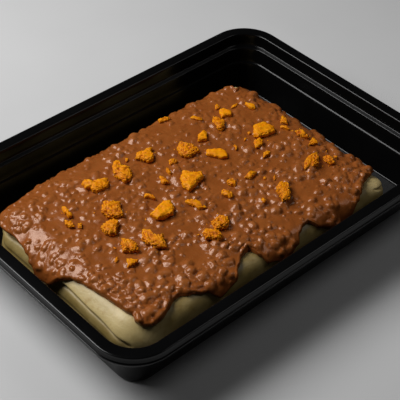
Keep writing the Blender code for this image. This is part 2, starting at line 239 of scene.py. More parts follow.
# Painted shade down the sauce's sides: how much darker it gets, and from and over which distances past the
# top's edge
LOW_SAUCE_SHADE = 0.85
LOW_SAUCE_SHADE_FROM = 5
LOW_SAUCE_SHADE_OVER = 7

# Toffee pieces: height, share of pores and outline in plan
HONEYCOMB = {
    1: (3.6, 0.5, ((-17.1, 27.5), (-13.8, 30.4), (-10.7, 28.9), (-7.9, 29.6), (-5, 27.9), (-7.6, 25.9),
        (-8.4, 22.8), (-11, 20.4), (-14, 20.8), (-15.2, 24.6))),
    2: (4.2, 0.8, ((-31.2, 28), (-29.3, 30.4), (-27.4, 31.8), (-25.4, 31.6), (-24.8, 29.6), (-26.4, 27.4),
        (-24.1, 23.9), (-25.2, 19.8), (-27.5, 16.8), (-30.5, 15.4), (-33.1, 16.2), (-33.5, 20.5),
        (-34, 24))),
    3: (4.4, 0.5, ((-50.4, 25.5), (-49.6, 29.3), (-47.7, 30.5), (-45.9, 29.6), (-45.6, 27.2), (-41.3, 26),
        (-37.2, 24), (-38.8, 20.9), (-41.2, 19.1), (-44.5, 18.9), (-47.6, 19.7), (-48.8, 21.8),
        (-48.2, 24.2))),
    4: (4.6, 1, ((-55.7, 2.9), (-55.4, 7.5), (-50.2, 12.1), (-46.2, 9.3), (-43.6, 6.6), (-46.2, 3.6),
        (-47.6, 0.8), (-49, -3), (-51.8, -2), (-54.6, 1))),
    5: (4.4, 0.8, ((-63.4, -5.2), (-62.6, -1), (-58, 0.4), (-54, -1), (-53.2, -4.6), (-57, -6.8),
        (-59.4, -9.6), (-62, -8))),
    6: (4.4, 0.15, ((-39.7, -10.1), (-33, -8), (-28, -6.8), (-25.4, -8.8), (-26.6, -13),
        (-30.6, -16.7), (-35, -16.1), (-38.9, -14.6))),
    7: (3.8, 1, ((-64.6, -20), (-62.2, -15.8), (-59.6, -12.9), (-56.8, -16.6), (-56.2, -20.4),
        (-58.6, -25), (-61.4, -23))),
    8: (3.8, 1, ((-53.7, -20), (-48.8, -15), (-46.7, -17.4), (-46.6, -23.4), (-43.6, -24.4),
        (-45.8, -28.4), (-48, -32.1), (-52.2, -28.6), (-53.6, -24.2))),
    9: (4, 1, ((1.1, 15), (3.6, 19.6), (8.2, 22.3), (10, 19.6), (11.8, 15.8), (11.6, 10.2),
        (7.2, 9.7), (2.9, 10.4))),
    10: (4.2, 0.35, ((-13.8, -9.4), (-14.2, -4.6), (-10.4, 1.4), (-6.2, 3.9), (-3, -0.8), (0.2, -2.6),
        (-0.8, -6.2), (-4.6, -7.1), (-9, -8.6))),
    11: (3.2, 0.1, ((11.8, 6.4), (14.4, 9.2), (20, 5.4), (21.4, 1.8), (19, -2.4), (15.8, -0.8),
        (13.6, 3.2))),
    12: (4, 0.25, ((40.4, 1.8), (43.8, 5.2), (45.8, 7.5), (52.2, 6), (53.7, 0), (51, -3.4),
        (45.4, -2.5), (41, -0.8))),
    13: (3.4, 0.9, ((30.4, 17.2), (32, 23.4), (34, 26.4), (36.8, 25.8), (37.6, 19.8), (34.4, 16.6),
        (31.4, 15.4))),
    14: (3.2, 0.3, ((15.4, 16.8), (19, 20.4), (24.2, 21.7), (23.6, 18.6), (20, 14.3), (17.2, 15.4))),
    15: (3.2, 0.1, ((38.7, 23.6), (40.8, 27.6), (42.4, 29.3), (45.2, 28.6), (46.4, 24.6), (44.2, 21.4),
        (41.6, 22.9))),
    16: (3.8, 1, ((40.7, -34.3), (44.2, -30.2), (49.6, -28.1), (56, -28.3), (53.4, -32.4), (50, -35),
        (47, -36.6), (44.4, -34.2))),
    17: (3.2, 1, ((55, -34.6), (57, -31.8), (60, -31.6), (60.3, -35.2), (58.4, -39.4),
        (55.8, -38.6))),
    18: (3, 1, ((58.6, -11.4), (60.4, -8.2), (63.9, -9.4), (64, -14), (61.6, -17.5), (59.8, -14.4))),
    19: (4.2, 1, ((14.3, -45), (17, -40.2), (18.2, -36.2), (23.4, -33.7), (26.5, -35.6), (25.6, -38.4),
        (22.2, -42.8), (18.6, -45.8))),
    20: (4, 1, ((-22.9, -37), (-21, -32.3), (-15.2, -31.4), (-12.1, -34.6), (-14.8, -38.8),
        (-18, -40))),
    21: (4, 0.9, ((-30.8, -39.6), (-30, -35.8), (-26.6, -34.2), (-24.4, -37.6), (-22.6, -39.4),
        (-23.6, -44.2), (-27, -44.6), (-28.8, -41.4))),
    22: (3.2, 0.6, ((34.2, -6.4), (36.6, -2.2), (38.6, -1), (41.8, -1.4), (41.4, -5), (37.8, -7.2))),
    23: (2.6, 0.3, ((55.7, 21), (56.4, 24.6), (57.8, 25.7), (59.9, 20.8), (58, 17.5), (56.4, 18.6))),
    24: (3, 0.4, ((-68.9, 14.2), (-68.4, 19), (-67.2, 22.8), (-65.3, 21.4), (-66, 15.6),
        (-67.2, 14))),
}
# Small toffee crumbs: height and outline in plan
CRUMBS = (
    (3, ((-73.4, 11.6), (-71.6, 14.3), (-69.3, 11.4), (-70.4, 7.8), (-72.6, 9))),
    (2.4, ((-70, 6.2), (-68.4, 8.5), (-66.3, 7.6), (-68.6, 4.8))),
    (1.8, ((-22, 28.6), (-20.4, 31.4), (-18.6, 30.6), (-20.4, 28.8))),
    (2.6, ((12.5, 43), (13.4, 45), (17.6, 44.6), (19.4, 41.6), (15.4, 41))),
    (1.8, ((25.8, 34.4), (28.4, 34.8), (30.8, 30.6), (29.6, 27.8), (27.4, 31))),
    (2, ((41.6, 31.4), (43.6, 34), (45.6, 34.8), (45.2, 31.6), (43.2, 30.8))),
    (1.6, ((48.2, 27), (50.6, 28.4), (55.2, 28), (52, 26.4))),
    (2.6, ((-7.4, 12.4), (-5.8, 15.2), (-2.6, 14.6), (-2.3, 12), (-5, 11))),
    (2, ((-12.6, 6), (-11.8, 10.4), (-9.4, 12.4), (-9.8, 9.4), (-11.2, 5.8))),
    (2.6, ((-20, 4.4), (-17, 9.2), (-15.6, 5.6), (-16.6, 2.2), (-19.4, 3))),
    (2.4, ((-32.8, 2), (-30.8, 5.4), (-28.4, 0.2), (-29.4, -2.8), (-31, 0.6))),
    (2.6, ((-20.6, -13.2), (-18, -12.8), (-14.6, -16.8), (-14.8, -24.2), (-18.6, -21.2), (-19.4, -17))),
    (2, ((25.2, -1.5), (27.4, 3), (29.3, 3.2), (27.4, -0.4))),
    (1.6, ((34.4, 2.6), (36.4, 4.2), (37.4, 3), (35.6, 2.2))),
    (1.8, ((39.9, 5), (41.2, 6.8), (42.6, 5.6), (41, 4.3))),
    (2.4, ((31.8, -14.2), (34, -11.8), (37.2, -11.3), (38.2, -13.2), (35.4, -14.7))),
    (2.8, ((13.2, -19.4), (16.8, -18), (19.6, -17.8), (21.4, -20.4), (17.6, -21.8), (15, -22))),
    (2.8, ((4.3, -16.8), (5.8, -14.5), (8.6, -15.6), (9.5, -18.2), (6.6, -21))),
    (2.8, ((-3.6, -20.6), (-1.2, -18.7), (1.4, -22.4), (0.8, -25), (-1.8, -26.4))),
    (1.4, ((24, -29.8), (25.6, -27.4), (27.8, -26.4), (26.2, -29))),
    (1.4, ((20.6, -25.8), (21.8, -24.2), (22.8, -25.4), (21.6, -26.8))),
    (1.8, ((7.2, -39.4), (8, -36.4), (9.8, -35.8), (9.4, -38.8))),
    (2.8, ((-69.6, -29.2), (-66.2, -24.6), (-62.2, -29), (-65.8, -29.8))),
    (1.6, ((-71.6, -23.2), (-70.6, -21), (-67.8, -20), (-69, -22.4))),
    (1.2, ((-66.4, -15), (-65, -13.8), (-64.4, -15.2), (-65.4, -16))),
    (2.6, ((56.8, -21.4), (60.8, -19.2), (64.3, -18), (62.2, -23.6))),
    (2.6, ((59.6, 1.4), (64.4, 5.2), (65, 2.4), (62, -2.5))),
    (2.4, ((56.4, -2), (57.4, -0.4), (60, -3.6), (58.8, -6.6))),
    (1.8, ((61.4, -35.2), (62.8, -33.6), (64, -35), (62.6, -36.8))),
)
# How deep a larger piece and a crumb sit in the sauce, and how far round its middle the sauce is measured
PIECE_SUNK = 0.9
CRUMB_SUNK = 0.6
LEVEL_RADIUS = 3
# How finely a piece and a crumb are divided: height past which it is tall, and steps for tall ones and others
PIECE_MESH = (3.5, 5, 4)
CRUMB_MESH = (2.3, 4, 3)
SPECK_DETAIL = 2
# A crumb's share of pores, and the number that its seed counts from
CRUMB_POROUS = 0.7
CRUMB_SEED = 100
# Powers that fill out a piece's outline and its height
CHUNK_LEAN = 0.62
CHUNK_RISE = 0.8
# How the directions of a piece's relief are stretched, and the height from which the relief is whole
OUTWARD_STRETCH = (1, 1, 1.4)
WHOLE_RELIEF = 3
# Roughness of a piece: height and length of its broad and of its fine part
ROUGH = 0.4
ROUGH_LENGTH = 2.4
RAGGED = 0.3
RAGGED_LENGTH = 1.1
# Grains: size, depth of the gaps between them, how fast a gap ends, and how far a seed moves them
GRAIN = 0.95
GRAIN_DEPTH = 0.5
GRAIN_EDGE = 2.2
GRAIN_SHIFT = (5.1, 2.3, 0)
# How much the gaps show: a share everywhere, and what the share of pores adds
GAPS_BY_PORES = (0.25, 0.75)
# Pores: size, depth, least value of the noise and how far over it a pore is whole
HOLE_LENGTH = 1.7
HOLE_DEPTH = 0.9
HOLE_FROM = 0.05
HOLE_FADE = 0.25
# Power of the painted shade in a gap, and how much a pore adds to it
GAP_SHADE_POWER = 1.5
HOLE_SHADE = 0.6
# How far past its ends an outline's edge still counts, in its own lengths
EDGE_SLACK = 1e-6
# The finest crumbs: count, sizes, way out from a larger piece in shares of its own size, and scatter
SPECK_COUNT = 60
SPECK_SIZES = (0.35, 0.9)
SPECK_REACH = (1.1, 1.7)
SPECK_SCATTER = 0.6
SPECK_SEED = 5
# Their stretch, roughness and its length, the range of its seeds, and their painted shade
SPECK_STRETCH = (0.6, 1.2)
SPECK_ROUGH = 0.35
SPECK_ROUGH_LENGTH = 0.8
SPECK_SEEDS = 50
SPECK_SHADE = 0.1

# Colours. Where there are two, noise mixes them, and these values of it give the first and the second
PATCH_FROM = 0.3
PATCH_TO = 0.7
SAUCE_COLOURS = ((0.255, 0.069, 0.012), (0.305, 0.088, 0.017))
# Paler lumps, partly a thin coat over nuts and partly painted light on their tops
LUMP_PALE_AND_LIT_COLOUR = (0.34, 0.105, 0.023, 1)
# Painted shade down the sauce's sides
LOW_SAUCE_SHADE_COLOUR = (0.09, 0.022, 0.004, 1)
SAUCE_SHEEN = (1, 0.77, 0.63, 1)
CREPE_COLOURS = ((0.50, 0.375, 0.150), (0.65, 0.505, 0.235))
SPOT_COLOUR = (0.46, 0.31, 0.11, 1)
SPOT_FROM = 0.56
SPOT_TO = 0.75
# Painted shade on the crepe's near side, and browning with painted shade under its fold
BROWNING_AND_SHADE_COLOUR = (0.21, 0.135, 0.022, 1)
TOFFEE_COLOURS = ((0.93, 0.29, 0.0), (1.0, 0.41, 0.001))
# Painted shade in the toffee's gaps and pores
PORE_SHADE_COLOUR = (0.42, 0.085, 0.0, 1)
TRAY_COLOURS = ((0.0020, 0.0020, 0.0021), (0.0030, 0.0030, 0.0031))
FLOOR_COLOURS = ((0.58, 0.58, 0.58), (0.62, 0.62, 0.62))
BLACK = (0, 0, 0)
WHITE = (1, 1, 1)

# The photograph's camera
TARGET = Vector((-15.48, -18.66, 33.0)) * MM
DISTANCE = 581.97 * MM
ELEVATION = math.radians(41.53)
AZIMUTH = math.radians(-133.90)
ROLL = math.radians(2.13)
SENSOR = 36
LENS = 109.57
CLIP_START = 0.01
CLIP_END = 20

# Studio: the lights' azimuth and elevation in degrees, distance, size and power, and what they aim at
KEY_LIGHT = (121, 49, 800, (520, 460), 7.0)
FILL_LIGHT = (-30, 53, 900, (320, 320), 0.6)
LIGHT_TARGET = (-10, -10, 20)
WORLD_COLOUR = (1, 1, 1, 1)
WORLD_STRENGTH = 0.015
FLOOR_HALF = 3000
FLOOR_DROP = 0.05


def smoothstep(x):
    x = np.clip(x, 0.0, 1.0)
    return x * x * (3 - 2 * x)


def share_by(least_and_gain, value):
    """A share everywhere, and what a 0 to 1 value adds to it."""
    least, gain = least_and_gain
    return least + gain * value


def eased(table, place):
    """Values at places along a side, eased between a table's places."""
    places, values = np.array(table, float).T
    i = np.clip(np.searchsorted(places, place) - 1, 0, len(places) - 2)
    share = smoothstep((place - places[i]) / (places[i + 1] - places[i]))
    return values[i] + (values[i + 1] - values[i]) * share


def noise_at(points, length, seed=0.0):
    """Smooth noise from -1 to 1 at an array of points, with features of the given length."""
    flat = np.asarray(points, float).reshape(-1, 3) / length + seed * np.array(NOISE_SHIFT)
    values = np.array([noise.noise(Vector(p)) for p in flat])
    return values.reshape(np.shape(points)[:-1])


def linked(name, data):
    """A new object in the scene."""
    made = bpy.data.objects.new(name, data)
    bpy.context.scene.collection.objects.link(made)
    return made


def mesh_object(name, points, faces, material):
    """A smooth-shaded object from points in millimetres."""
    mesh = bpy.data.meshes.new(name)
    mesh.from_pydata((np.asarray(points, float) * MM).tolist(), [], faces)
    mesh.update()
    mesh.shade_smooth()
    mesh.materials.append(material)
    return linked(name, mesh)


def keep_values(made, name, values):
    """Stores a value for each point of an object, for its material to read."""
    kept = made.data.attributes.new(name, "FLOAT", "POINT")
    kept.data.foreach_set("value", np.asarray(values, np.float32))


def grid_faces(rows, columns, first=0):
    """Quads of a grid of points stored row by row, facing up."""
    index = first + np.arange(rows * columns).reshape(rows, columns)
    quads = [index[:-1, :-1], index[1:, :-1], index[1:, 1:], index[:-1, 1:]]
    return np.stack(quads, -1).reshape(-1, 4).tolist()


def outline_of(index):
    """The border of a grid of indices, counterclockwise from its first corner."""
    near = list(index[:, 0])
    right = list(index[-1, 1:])
    far = list(index[-2::-1, -1])
    left = list(index[0, -2:0:-1])
    return near + right + far + left


# Materials


def principled(name, roughness, specular=0.5):
    """A material with its node tree and its Principled shader."""
    made = bpy.data.materials.new(name)
    made.use_nodes = True
    shader = made.node_tree.nodes["Principled BSDF"]
    shader.inputs["Roughness"].default_value = roughness
    shader.inputs["Specular IOR Level"].default_value = specular
    return made, made.node_tree, shader


def noise_node(tree, size, detail):
    """Noise with features of a size in millimetres, in the object's own space."""
    place = tree.nodes.new("ShaderNodeTexCoord")
    texture = tree.nodes.new("ShaderNodeTexNoise")
    texture.inputs["Scale"].default_value = 1 / (size * MM)
    texture.inputs["Detail"].default_value = detail
    tree.links.new(place.outputs["Object"], texture.inputs["Vector"])
    return texture.outputs["Fac"]


def ramp(tree, value, *stops):
    """A colour ramp over a value; each stop is a place and a colour."""
    node = tree.nodes.new("ShaderNodeValToRGB")
    for element, (place, colour) in zip(node.color_ramp.elements, stops):
        element.position = place
        element.color = (*colour, 1)
    tree.links.new(value, node.inputs["Fac"])
    return node.outputs["Color"]


def patchy(tree, colours, size, detail):
    """Two colours mixed in patches of a size in millimetres."""
    first, second = colours
    return ramp(tree, noise_node(tree, size, detail), (PATCH_FROM, first), (PATCH_TO, second))


def mixed(tree, factor, first, second):
    """Two colour sockets or values mixed by a factor socket."""
    node = tree.nodes.new("ShaderNodeMix")
    node.data_type = "RGBA"
    for name, value in (("Factor", factor), ("A", first), ("B", second)):
        socket = [s for s in node.inputs if s.name == name and s.enabled][0]
        if isinstance(value, bpy.types.NodeSocket):
            tree.links.new(value, socket)
        else:
            socket.default_value = value
    return [s for s in node.outputs if s.enabled][0]


def ranged(tree, value, low, high):
    """A 0 to 1 value spread over a range."""
    node = tree.nodes.new("ShaderNodeMapRange")
    node.inputs["To Min"].default_value = low
    node.inputs["To Max"].default_value = high
    tree.links.new(value, node.inputs["Value"])
    return node.outputs["Result"]


def vary_roughness(tree, shader, size, detail, low, high):
    """Roughness between two values, in patches of a size in millimetres."""
    tree.links.new(ranged(tree, noise_node(tree, size, detail), low, high), shader.inputs["Roughness"])


def soften(shader, weight, radius, depth):
    """Light let into a material down to a depth in millimetres."""
    shader.inputs["Subsurface Weight"].default_value = weight
    shader.inputs["Subsurface Radius"].default_value = radius
    shader.inputs["Subsurface Scale"].default_value = depth * MM


def bump(tree, shader, value, depth, strength=1.0, under=None):
    """A bump of a depth in millimetres, over another one."""
    node = tree.nodes.new("ShaderNodeBump")
    node.inputs["Strength"].default_value = strength
    node.inputs["Distance"].default_value = depth * MM
    tree.links.new(value, node.inputs["Height"])
    if under is not None:
        tree.links.new(under, node.inputs["Normal"])
    tree.links.new(node.outputs["Normal"], shader.inputs["Normal"])
    return node.outputs["Normal"]


def attribute(tree, name):
    node = tree.nodes.new("ShaderNodeAttribute")
    node.attribute_name = name
    return node.outputs["Fac"]


def uneven(tree, value, size, detail, low, high):
    """A 0 to 1 value made patchy by noise that scales it from low to high."""
    product = tree.nodes.new("ShaderNodeMath")
    product.operation = "MULTIPLY"
    product.use_clamp = True
    tree.links.new(value, product.inputs[0])
    tree.links.new(ranged(tree, noise_node(tree, size, detail), low, high), product.inputs[1])
    return product.outputs["Value"]


def sauce_material():
    made, tree, shader = principled("milk_chocolate_sauce", roughness=0.24)
    broad = patchy(tree, SAUCE_COLOURS, size=14, detail=4)
    # Lumps turn paler: partly a thin coat over nuts, partly painted light on their tops
    lumps_pale_and_lit = mixed(tree, attribute(tree, "lump"), broad, LUMP_PALE_AND_LIT_COLOUR)
    # Painted shade: the sauce darkens down its sides
    base = mixed(tree, attribute(tree, "low"), lumps_pale_and_lit, LOW_SAUCE_SHADE_COLOUR)
    tree.links.new(base, shader.inputs["Base Color"])
    vary_roughness(tree, shader, size=5, detail=3, low=0.18, high=0.33)
    shader.inputs["Specular Tint"].default_value = SAUCE_SHEEN
    soften(shader, weight=0.08, radius=(1.0, 0.4, 0.2), depth=1.2)
    bump(tree, shader, noise_node(tree, size=1.3, detail=2), depth=0.12)
    return made


def crepe_material():
    made, tree, shader = principled("crepe_batter", roughness=0.42, specular=0.4)
    broad = patchy(tree, CREPE_COLOURS, size=16, detail=4)
    spots = ramp(tree, noise_node(tree, size=3.5, detail=5), (SPOT_FROM, BLACK), (SPOT_TO, WHITE))
    mottled = mixed(tree, spots, broad, SPOT_COLOUR)
    # Painted shade along the near side, and browning with painted shade under the uppermost fold
    browning_and_shade = uneven(tree, attribute(tree, "browning_and_shade"), size=7, detail=3, low=0.4, high=1.3)
    base = mixed(tree, browning_and_shade, mottled, BROWNING_AND_SHADE_COLOUR)
    tree.links.new(base, shader.inputs["Base Color"])
    soften(shader, weight=0.06, radius=(1.0, 0.7, 0.35), depth=1.5)
    fine = bump(tree, shader, noise_node(tree, size=0.8, detail=3), depth=0.08)
    bump(tree, shader, noise_node(tree, size=4, detail=3), depth=0.25, strength=0.7, under=fine)
    return made


def toffee_material():
    made, tree, shader = principled("honeycomb_toffee", roughness=0.5, specular=0.15)
    skin = patchy(tree, TOFFEE_COLOURS, size=2.2, detail=4)
    # Painted shade in the gaps between grains and in the pores
    base = mixed(tree, attribute(tree, "pore"), skin, PORE_SHADE_COLOUR)
    tree.links.new(base, shader.inputs["Base Color"])
    soften(shader, weight=0.12, radius=(1.0, 0.5, 0.1), depth=0.8)
    bump(tree, shader, noise_node(tree, size=0.45, detail=3), depth=0.1)
    return made


def tray_material():
    made, tree, shader = principled("black_plastic", roughness=0.2, specular=0.25)
    tree.links.new(patchy(tree, TRAY_COLOURS, size=40, detail=2), shader.inputs["Base Color"])
    vary_roughness(tree, shader, size=9, detail=4, low=0.15, high=0.22)
    bump(tree, shader, noise_node(tree, size=0.6, detail=2), depth=0.006)
    return made


def floor_material():
    made, tree, shader = principled("pale_floor", roughness=0.85, specular=0.2)
    tree.links.new(patchy(tree, FLOOR_COLOURS, size=120, detail=3), shader.inputs["Base Color"])
    return made


# Tray


def rounded_rectangle(half_x, half_y, radius, z):
    """Points of a rectangle with round corners, counterclockwise from above."""
    points = []
    for corner, (sx, sy) in enumerate(((1, 1), (-1, 1), (-1, -1), (1, -1))):
        for step in range(TRAY_CORNER_STEPS + 1):
            angle = math.radians(90 * (corner + step / TRAY_CORNER_STEPS))
            x = sx * (half_x - radius) + radius * math.cos(angle)
            y = sy * (half_y - radius) + radius * math.sin(angle)
            points.append((x, y, z))
    return points


def tray_profile():
    """Sections from the floor's edge to the lip, with the edges between the straight stretches rounded."""
    sections = np.array(TRAY_SECTIONS)
    yield sections[0]
    for before, at, after in zip(sections, sections[1:], sections[2:]):
        start = at + EDGE_SHARE * (before - at)
        end = at + EDGE_SHARE * (after - at)
        for step in range(EDGE_STEPS + 1):
            t = step / EDGE_STEPS
            yield (1 - t) ** 2 * start + 2 * t * (1 - t) * at + t * t * end
    yield sections[-1]


def tray(material):
    """The moulded shell, with finer corners and rounded edges."""
    rings = []
    for inset, depth, corner in tray_profile():
        half_x = TRAY_LENGTH / 2 - inset
        half_y = TRAY_WIDTH / 2 - inset
        rings.append(rounded_rectangle(half_x, half_y, corner, TRAY_HEIGHT - depth))
    around = len(rings[0])
    faces = [list(range(around))]
    for ring in range(len(rings) - 1):
        for i in range(around):
            j = (i + 1) % around
            inner = ring * around
            outer = inner + around
            faces.append((inner + i, outer + i, outer + j, inner + j))
    made = mesh_object("tray_shell", np.array(rings).reshape(-1, 3), faces, material)
    shell = made.modifiers.new("Wall", "SOLIDIFY")
    shell.thickness = TRAY_WALL * MM
    shell.offset = -1
    shell.use_even_offset = True
    return made


# Crepe


def nearest_an_end(u, v):
    """Whether a place on the crepe's paper is nearer to a short end than to a long side."""
    return np.abs(u) - HALF_LENGTH >= np.abs(v) - HALF_WIDTH


def shoulder_at(u):
    """Radius of the shoulder, which is wider at the near end than at the far end."""
    near_end = smoothstep((-u - NEAR_END_FROM * HALF_LENGTH) / (NEAR_END_OVER * HALF_LENGTH))
    far_end = smoothstep((u - FAR_END_FROM * HALF_LENGTH) / (FAR_END_OVER * HALF_LENGTH))
    return SHOULDER + (NEAR_END_SHOULDER - SHOULDER) * near_end + (FAR_END_SHOULDER - SHOULDER) * far_end


def crepe_profile(e, shoulder):
    """Offset, height and slope of the crepe's skin at a distance e past the edge of its level top."""
    start = SHOULDER - shoulder
    side = CREPE_TOP - CREPE_FLOOR - shoulder - HEEL
    whole = start + shoulder * math.pi / 2 + side + HEEL * math.pi / 2
    e = np.where(e > 0, e * whole / SKIN, e)
    past = e - start - shoulder * math.pi / 2
    bend = np.clip((e - start) / shoulder, 0, math.pi / 2)
    under = np.clip((past - side) / HEEL, 0, math.pi / 2)
    offset = np.minimum(e, start) + shoulder * np.sin(bend) - HEEL * (1 - np.cos(under))
    z = CREPE_TOP - shoulder * (1 - np.cos(bend)) - np.clip(past, 0, side) - HEEL * np.sin(under)
    return offset, z, bend


def past_edge(u, v):
    """How far a place on the crepe's paper lies past the edge of its level top."""
    return np.maximum(np.abs(u) - HALF_LENGTH, np.abs(v) - HALF_WIDTH)


def moved_out(u, v, e, wanted):
    """The place in the same direction as u, v, at another distance past the edge."""
    return u * (HALF_LENGTH + wanted) / (HALF_LENGTH + e), v * (HALF_WIDTH + wanted) / (HALF_WIDTH + e)


def fold_path(u, v, e):
    """How far the folds are moved down at a place on the sides, and how deep they are there."""
    across = v * HALF_WIDTH / (HALF_WIDTH + e)
    at_end = np.where(u > 0, eased(FOLD_FAR_END, across), eased(FOLD_NEAR_END, across))
    corner = np.copysign(HALF_WIDTH, v)
    at_corner = np.where(u > 0, eased(FOLD_FAR_END, corner), eased(FOLD_NEAR_END, corner))
    inside = HALF_LENGTH - np.abs(u) * HALF_LENGTH / (HALF_LENGTH + e)
    turned = np.clip(inside / FOLD_WRAP, 0, 1)
    turn = np.where((u > 0) & (v < 0), -FOLD_RISE, FOLD_DROP)
    at_an_end = nearest_an_end(u, v)
    shift = np.where(at_an_end, at_end, at_corner + turned * turn) - UPPERMOST_FOLD
    nose = np.where(u > 0, 1.0, smoothstep((across + HALF_WIDTH) / NOSE_FADE))
    return shift, nose * np.where(at_an_end, 1.0, smoothstep(1 - turned))


def round_corner(x, y):
    """Moves the points of a square corner onto the round one."""
    radius = np.zeros_like(x)
    for (sx, sy), value in TOP_CORNERS.items():
        radius[(x * sx > 0) & (y * sy > 0)] = value
    dx = np.abs(x) - (HALF_LENGTH - radius)
    dy = np.abs(y) - (HALF_WIDTH - radius)
    outside = (dx > 0) & (dy > 0)
    inward = np.where(outside, 1 - np.maximum(dx, dy) / np.maximum(np.hypot(dx, dy), TINY), 0)
    return x - np.copysign(dx * inward, x), y - np.copysign(dy * inward, y)


def top_relief(u, v):
    """Height over the level top of its crown, its raised and dipped corners and its waves."""
    middle = np.maximum(0, 1 - (u / HALF_LENGTH) ** 2) * np.maximum(0, 1 - (v / HALF_WIDTH) ** 2)
    raised = sum(height * smoothstep(1 - np.hypot(u - at_u, v - at_v) / radius)
                 for (at_u, at_v), radius, height in CORNER_BUMPS)
    paper = np.stack([u, v, np.full_like(u, WAVE_HEIGHT * WAVE_LENGTH)], -1)
    return raised + CROWN * middle + WAVE * noise_at(paper, WAVE_LENGTH)


def parcel(u, v, lift=0.0, groove=0.0):
    """Points over the parcel at u, v, measured over its skin from the middle of the top."""
    e = past_edge(u, v)
    offset, z, slope = crepe_profile(e, shoulder_at(u))
    z = z + (lift - groove + top_relief(u, v)) * np.cos(slope)
    offset = offset + (lift - groove) * np.sin(slope)
    # Kept off the middle of the top, where the scales below would be a division by nothing
    e = np.maximum(e, 1 - HALF_WIDTH)
    at_an_end = nearest_an_end(u, v)
    along = u * (HALF_LENGTH + offset) / (HALF_LENGTH + e)
    across = v * (HALF_WIDTH + offset) / (HALF_WIDTH + e)
    x = np.where(at_an_end, np.copysign(HALF_LENGTH + offset, u), along)
    y = np.where(at_an_end, across, np.copysign(HALF_WIDTH + offset, v))
    x, y = round_corner(x, y)
    x = x + PULL * smoothstep((x - PULL_FROM[0]) / PULL_OVER) * smoothstep((PULL_FROM[1] - y) / PULL_OVER)
    return np.stack([CREPE_MIDDLE[0] + x, CREPE_MIDDLE[1] + y, z], -1)


def stations(half, cell, reach, ring):
    """Places of the grid lines across the paper: even cells on the level top, then even rings."""
    cells = round(2 * half / cell)
    rings = round(reach / ring)
    inner = np.linspace(-half, half, cells + 1)
    outer = half + np.linspace(0, reach, rings + 1)[1:]
    return np.concatenate([-outer[::-1], inner, outer])


def fold_grooves(u, e, fade):
    """How deep the folds are pressed into the skin, and how far it is set back under the uppermost one."""
    pressed = sum(depth * np.exp(-((e - middle) / width) ** 2) for middle, depth, width in FOLDS)
    started = smoothstep((e - UPPERMOST_FOLD) / TUCK_OVER)
    tucked = started * smoothstep((SKIN - e) / (SKIN - UPPERMOST_FOLD))
    return np.where(e > 0, fade * pressed + fade * np.where(u > 0, FAR_TUCK, TUCK) * tucked, 0)


def moved_down(u, v, e, shift):
    """Places on the sides moved so that the grid follows the uppermost fold."""
    share = np.where(e < UPPERMOST_FOLD, e / UPPERMOST_FOLD, (SKIN - e) / (SKIN - UPPERMOST_FOLD))
    moved_u, moved_v = moved_out(u, v, e, e + shift * np.clip(share, 0, 1))
    return np.where(e > 0, moved_u, u), np.where(e > 0, moved_v, v)


def wrinkles(u, v, e):
    """Height of the creases over the sides."""
    paper = np.stack([u, v * WRINKLE_STRETCH, np.zeros_like(u)], -1)
    height = WRINKLE * (noise_at(paper, WRINKLE_LENGTH, WRINKLE_SEED) - WRINKLE_LEVEL)
    return height * smoothstep(e / WRINKLE_IN) * smoothstep((SKIN - e) / WRINKLE_OUT)


def browning_and_shade_at(u, v, e):
    """How much the skin is darkened: painted shade along the near side, and browning with painted shade under
    the uppermost fold.
    """
    side = smoothstep((-HALF_WIDTH - v + SIDE_SHADE_LEAD) / SIDE_SHADE_OVER)
    side = side * smoothstep((u + HALF_LENGTH) / SIDE_SHADE_NEAR_END)
    side = side * smoothstep((HALF_LENGTH - u) / SIDE_SHADE_FAR_END)
    under_fold = smoothstep((e - UPPERMOST_FOLD) / FOLD_BROWNING_AND_SHADE_OVER)
    return np.maximum(SIDE_SHADE * side, FOLD_BROWNING_AND_SHADE * under_fold)


def crepe(material):
    """The folded crepe with its folds and wrinkles."""
    us = stations(HALF_LENGTH, CREPE_CELL, SKIN, CREPE_RING)
    vs = stations(HALF_WIDTH, CREPE_CELL, SKIN, CREPE_RING)
    u, v = np.meshgrid(us, vs, indexing="ij")
    e = past_edge(u, v)
    shift, fade = fold_path(u, v, e)
    groove = fold_grooves(u, e, fade)
    u, v = moved_down(u, v, e, shift)
    points = parcel(u, v, wrinkles(u, v, e), groove)
    border = outline_of(np.arange(u.size).reshape(u.shape))
    faces = grid_faces(*u.shape)
    faces.append([int(i) for i in reversed(border)])
    made = mesh_object("crepe_skin", points.reshape(-1, 3), faces, material)
    # Painted shade along the near side and browning with painted shade under the fold, for the material
    keep_values(made, "browning_and_shade", browning_and_shade_at(u, v, e).ravel())
    return made


# Sauce


def sauce_reach(u, v):
    """How far the sauce runs past the edge of the level top, for the nearest side."""
    e = past_edge(u, v)
    across = v * HALF_WIDTH / (HALF_WIDTH + e)
    along = u * HALF_LENGTH / (HALF_LENGTH + e)
    ends = np.where(u > 0, eased(REACH_FAR_END, across), eased(REACH_NEAR_END, across))
    sides = np.where(v > 0, eased(REACH_FAR_SIDE, along), eased(REACH_NEAR_SIDE, along))
    return np.where(nearest_an_end(u, v), ends, sides)


def drape(s, t):
    """Places on the crepe's paper of the points of the sauce, whose outer ring follows the reach."""
    e = past_edge(s, t)
    share = (e + REACH_BLEND) / (SAUCE_REACH + REACH_BLEND)
    u, v = moved_out(s, t, e, share * (sauce_reach(s, t) + REACH_BLEND) - REACH_BLEND)
    inside = e <= -REACH_BLEND
    return np.where(inside, s, u), np.where(inside, t, v)


def normals_of(points):
    """Unit normals of a grid of points."""
    along = np.gradient(points, axis=0)
    across = np.gradient(points, axis=1)
    normal = np.cross(along, across)
    return normal / np.maximum(np.linalg.norm(normal, axis=-1, keepdims=True), TINY)


